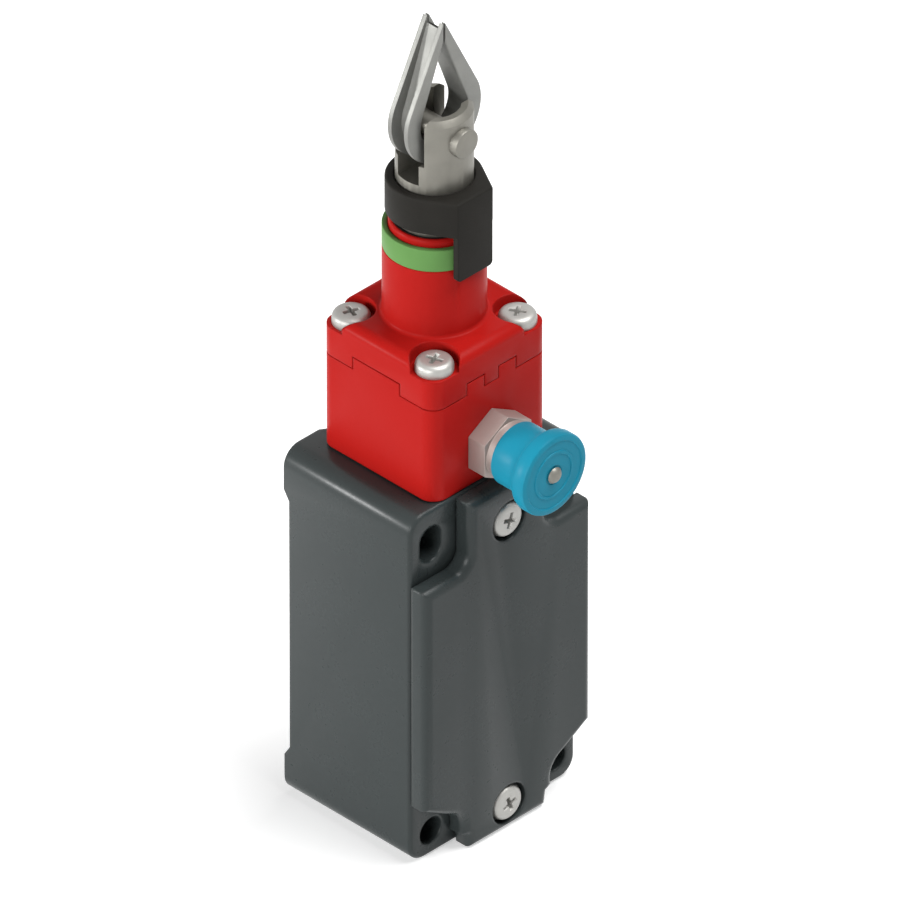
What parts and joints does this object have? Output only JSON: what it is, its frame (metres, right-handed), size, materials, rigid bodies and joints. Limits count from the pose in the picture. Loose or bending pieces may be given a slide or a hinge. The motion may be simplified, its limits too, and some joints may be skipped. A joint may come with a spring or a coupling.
{
  "type": "rope pull switch",
  "caption": "Rope pull safety switch with metal housing, red head, spring-loaded clevis with rope thimble, tension indicator and pull-to-reset knob.",
  "frame": {"origin": "midpoint between the two lower fixing holes, on the mounting plane of the back pads", "axes": "+Z along the pull towards the rope, +Y out of the back into the wall, -Y towards the cover and the reset knob, +X to the right seen from the cover"},
  "size_m": [0.04, 0.0463, 0.1596],
  "materials": {
    "housing_paint": "satin powder coat",
    "head_red": "satin powder coat",
    "seal_rubber": "matt",
    "band_green": "satin",
    "collar_black": "matt",
    "stainless": "satin",
    "thimble_steel": "satin",
    "screw_zinc": "satin",
    "nickel": "satin",
    "knob_blue": "satin",
    "spring_steel": "satin",
    "bronze": "sintered",
    "contact_brass": "bright",
    "block_plastic": "moulded",
    "clear_plastic": "clear",
    "slider_plastic": "moulded"
  },
  "bodies": {
    "switch_body": {"housing_base": "housing_paint", "front_cover": "housing_paint", "cover_seal": "seal_rubber", "cover_screws": "screw_zinc", "flange_seal": "seal_rubber", "head_box": "head_red", "cap_seal": "seal_rubber", "head_cap": "head_red", "head_screws": "screw_zinc", "tension_band": "band_green", "neck_wiper": "seal_rubber", "guide_bush": "bronze", "main_spring": "spring_steel", "reset_bush": "nickel", "reset_spring": "spring_steel", "contact_block": "block_plastic", "chamber_plate": "clear_plastic", "block_screws": "screw_zinc", "fixed_contacts": "contact_brass", "terminal_saddles": "screw_zinc", "terminal_screws": "screw_zinc", "return_spring": "spring_steel", "earth_washer": "screw_zinc", "earth_screw": "screw_zinc"},
    "pull_group": {"clevis": "stainless", "clevis_pin": "stainless", "indicator_collar": "collar_black", "pull_rod": "stainless", "spring_seat": "screw_zinc", "retaining_ring": "spring_steel"},
    "thimble": {"rope_thimble": "thimble_steel"},
    "reset_group": {"reset_knob": "knob_blue", "reset_shaft": "stainless"},
    "trip_group": {"trip_slider": "slider_plastic"},
    "contact_group": {"contact_plunger": "slider_plastic", "safety_bridge": "contact_brass", "signal_bridge": "contact_brass", "contact_springs": "spring_steel"}
  },
  "joints": [
    {"name": "rope_pull", "type": "slide", "parent": "switch_body", "child": "pull_group", "axis": [0, 0, 1], "range_m": [0, 0.008], "stiffness_N_per_m": 2500, "springref_m": -0.003, "deforming": ["main_spring"]},
    {"name": "thimble_swing", "type": "hinge", "parent": "pull_group", "child": "thimble", "pos_m": [0, -0.0164, 0.1324], "axis": [0, 1, 0], "range_deg": [-45, 45]},
    {"name": "reset_pull", "type": "slide", "parent": "switch_body", "child": "reset_group", "axis": [0, -1, 0], "range_m": [0, 0.004], "stiffness_N_per_m": 600, "springref_m": -0.003, "deforming": ["reset_spring"]},
    {"name": "trip_slide", "type": "slide", "parent": "switch_body", "child": "trip_group", "axis": [0, 0, 1], "range_m": [0, 0.003]},
    {"name": "contact_slide", "type": "slide", "parent": "switch_body", "child": "contact_group", "axis": [0, 0, 1], "range_m": [0, 0.003], "deforming": ["return_spring"]}
  ],
  "couplings": [
    {"joint": "contact_slide", "follows": "trip_slide", "ratio": 1}
  ]
}
